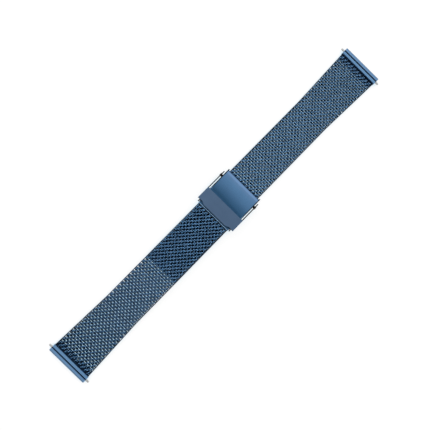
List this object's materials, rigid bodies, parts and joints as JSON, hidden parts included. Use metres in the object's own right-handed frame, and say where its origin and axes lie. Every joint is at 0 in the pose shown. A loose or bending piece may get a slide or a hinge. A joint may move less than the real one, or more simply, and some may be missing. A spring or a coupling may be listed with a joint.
{
  "type": "watch bracelet",
  "caption": "Closed woven-mesh metal watch bracelet with tapered halves, sprung lug bars and a sliding three-fold clasp.",
  "frame": {"origin": "middle of the closed bracelet's length and width, on the surface that it lies on", "axes": "+X along the strap towards the half that the slider rides on, +Y across the strap, +Z out of the strap's outer face"},
  "size_m": [0.186, 0.023, 0.0052],
  "materials": {
    "mesh": "woven steel wire with a dark blue vapour-deposited coating",
    "bright_blue": "satin steel with a blue vapour-deposited coating",
    "matt_blue": "bead-blasted steel with a grey-blue coating",
    "dark_steel": "dark coated steel strip",
    "bare_steel": "plain stainless steel"
  },
  "bodies": {
    "slider": {"slider_sleeve": "bright_blue", "lock_lever_pin": "bare_steel"},
    "lock_lever": {"lock_lever": "matt_blue"},
    "tail_mesh": {"mesh_a_core": "mesh", "tail_tip": "bright_blue"},
    "mesh_a_1": {"mesh_a_1": "mesh"},
    "mesh_a_2": {"mesh_a_2": "mesh"},
    "mesh_a_3": {"mesh_a_3": "mesh"},
    "mesh_a_4": {"mesh_a_4": "mesh"},
    "mesh_a_5": {"mesh_a_5": "mesh"},
    "mesh_a_6": {"mesh_a_6": "mesh", "lug_end_a": "bright_blue"},
    "frame": {"frame_rail_left": "dark_steel", "frame_rail_right": "dark_steel", "frame_pin": "bare_steel", "frame_rivets": "dark_steel"},
    "cover": {"cover_plate": "bright_blue", "cover_band": "matt_blue", "clamp_pin": "bare_steel"},
    "mesh_b_1": {"mesh_b_clamp": "bright_blue", "mesh_b_1": "mesh"},
    "mesh_b_2": {"mesh_b_2": "mesh"},
    "mesh_b_3": {"mesh_b_3": "mesh"},
    "mesh_b_4": {"mesh_b_4": "mesh"},
    "mesh_b_5": {"mesh_b_5": "mesh"},
    "mesh_b_6": {"mesh_b_6": "mesh"},
    "mesh_b_7": {"mesh_b_7": "mesh"},
    "mesh_b_8": {"mesh_b_8": "mesh", "lug_end_b": "bright_blue"},
    "spring_bar_a": {"spring_bar_a_tube": "bare_steel", "spring_bar_a_spring": "bare_steel"},
    "spring_bar_a_plunger_left": {"spring_bar_a_plunger_left": "bare_steel"},
    "spring_bar_a_plunger_right": {"spring_bar_a_plunger_right": "bare_steel"},
    "spring_bar_b": {"spring_bar_b_tube": "bare_steel", "spring_bar_b_spring": "bare_steel"},
    "spring_bar_b_plunger_left": {"spring_bar_b_plunger_left": "bare_steel"},
    "spring_bar_b_plunger_right": {"spring_bar_b_plunger_right": "bare_steel"}
  },
  "joints": [
    {"name": "tail_slide", "type": "slide", "parent": "slider", "child": "tail_mesh", "axis": [1, 0, 0], "range_m": [0, 0.033]},
    {"name": "lever_hinge", "type": "hinge", "parent": "slider", "child": "lock_lever", "pos_m": [0.0093, 0, 0.0006], "axis": [0, -1, 0], "range_deg": [0, 100]},
    {"name": "mesh_a_bend_1", "type": "hinge", "parent": "tail_mesh", "child": "mesh_a_1", "pos_m": [0.0183, 0, 0.0019], "axis": [0, -1, 0], "range_deg": [-30, 30]},
    {"name": "mesh_a_bend_2", "type": "hinge", "parent": "mesh_a_1", "child": "mesh_a_2", "pos_m": [0.03019, 0, 0.00182], "axis": [0, -1, 0], "range_deg": [-30, 30]},
    {"name": "mesh_a_bend_3", "type": "hinge", "parent": "mesh_a_2", "child": "mesh_a_3", "pos_m": [0.04208, 0, 0.00174], "axis": [0, -1, 0], "range_deg": [-30, 30]},
    {"name": "mesh_a_bend_4", "type": "hinge", "parent": "mesh_a_3", "child": "mesh_a_4", "pos_m": [0.05398, 0, 0.00166], "axis": [0, -1, 0], "range_deg": [-30, 30]},
    {"name": "mesh_a_bend_5", "type": "hinge", "parent": "mesh_a_4", "child": "mesh_a_5", "pos_m": [0.06587, 0, 0.00157], "axis": [0, -1, 0], "range_deg": [-30, 30]},
    {"name": "mesh_a_bend_6", "type": "hinge", "parent": "mesh_a_5", "child": "mesh_a_6", "pos_m": [0.07776, 0, 0.00149], "axis": [0, -1, 0], "range_deg": [-30, 30]},
    {"name": "frame_hinge", "type": "hinge", "parent": "slider", "child": "frame", "pos_m": [-0.0007, 0, 0.0035], "axis": [0, -1, 0], "range_deg": [0, 130]},
    {"name": "cover_hinge", "type": "hinge", "parent": "frame", "child": "cover", "pos_m": [0.0112, 0, 0.0035], "axis": [0, -1, 0], "range_deg": [-130, 0]},
    {"name": "clamp_hinge", "type": "hinge", "parent": "cover", "child": "mesh_b_1", "pos_m": [-0.0033, 0, 0.00375], "axis": [0, 1, 0], "range_deg": [0, 30]},
    {"name": "mesh_b_bend_1", "type": "hinge", "parent": "mesh_b_1", "child": "mesh_b_2", "pos_m": [-0.01493, 0, 0.00332], "axis": [0, 1, 0], "range_deg": [0, 30]},
    {"name": "mesh_b_bend_2", "type": "hinge", "parent": "mesh_b_2", "child": "mesh_b_3", "pos_m": [-0.02657, 0, 0.00332], "axis": [0, 1, 0], "range_deg": [0, 30]},
    {"name": "mesh_b_bend_3", "type": "hinge", "parent": "mesh_b_3", "child": "mesh_b_4", "pos_m": [-0.0382, 0, 0.00332], "axis": [0, 1, 0], "range_deg": [-30, 30]},
    {"name": "mesh_b_bend_4", "type": "hinge", "parent": "mesh_b_4", "child": "mesh_b_5", "pos_m": [-0.04849, 0, 0.00295], "axis": [0, 1, 0], "range_deg": [-30, 30]},
    {"name": "mesh_b_bend_5", "type": "hinge", "parent": "mesh_b_5", "child": "mesh_b_6", "pos_m": [-0.05878, 0, 0.00258], "axis": [0, 1, 0], "range_deg": [-30, 30]},
    {"name": "mesh_b_bend_6", "type": "hinge", "parent": "mesh_b_6", "child": "mesh_b_7", "pos_m": [-0.06907, 0, 0.00221], "axis": [0, 1, 0], "range_deg": [-30, 30]},
    {"name": "mesh_b_bend_7", "type": "hinge", "parent": "mesh_b_7", "child": "mesh_b_8", "pos_m": [-0.07936, 0, 0.00183], "axis": [0, 1, 0], "range_deg": [-30, 30]},
    {"name": "spring_bar_a_turn", "type": "hinge", "parent": "mesh_a_6", "child": "spring_bar_a", "pos_m": [0.0913, 0, 0.0014], "axis": [0, 1, 0], "continuous": true},
    {"name": "spring_bar_a_left_press", "type": "slide", "parent": "spring_bar_a", "child": "spring_bar_a_plunger_left", "axis": [0, -1, 0], "range_m": [0, 0.00152], "stiffness_N_per_m": 600, "springref_m": -0.0015, "deforming": ["spring_bar_a_spring"]},
    {"name": "spring_bar_a_right_press", "type": "slide", "parent": "spring_bar_a", "child": "spring_bar_a_plunger_right", "axis": [0, 1, 0], "range_m": [0, 0.00152], "stiffness_N_per_m": 600, "springref_m": -0.0015, "deforming": ["spring_bar_a_spring"]},
    {"name": "spring_bar_b_turn", "type": "hinge", "parent": "mesh_b_8", "child": "spring_bar_b", "pos_m": [-0.0913, 0, 0.0014], "axis": [0, 1, 0], "continuous": true},
    {"name": "spring_bar_b_left_press", "type": "slide", "parent": "spring_bar_b", "child": "spring_bar_b_plunger_left", "axis": [0, -1, 0], "range_m": [0, 0.00152], "stiffness_N_per_m": 600, "springref_m": -0.0015, "deforming": ["spring_bar_b_spring"]},
    {"name": "spring_bar_b_right_press", "type": "slide", "parent": "spring_bar_b", "child": "spring_bar_b_plunger_right", "axis": [0, 1, 0], "range_m": [0, 0.00152], "stiffness_N_per_m": 600, "springref_m": -0.0015, "deforming": ["spring_bar_b_spring"]}
  ],
  "couplings": [
    {"joint": "cover_hinge", "follows": "frame_hinge", "ratio": -1}
  ]
}
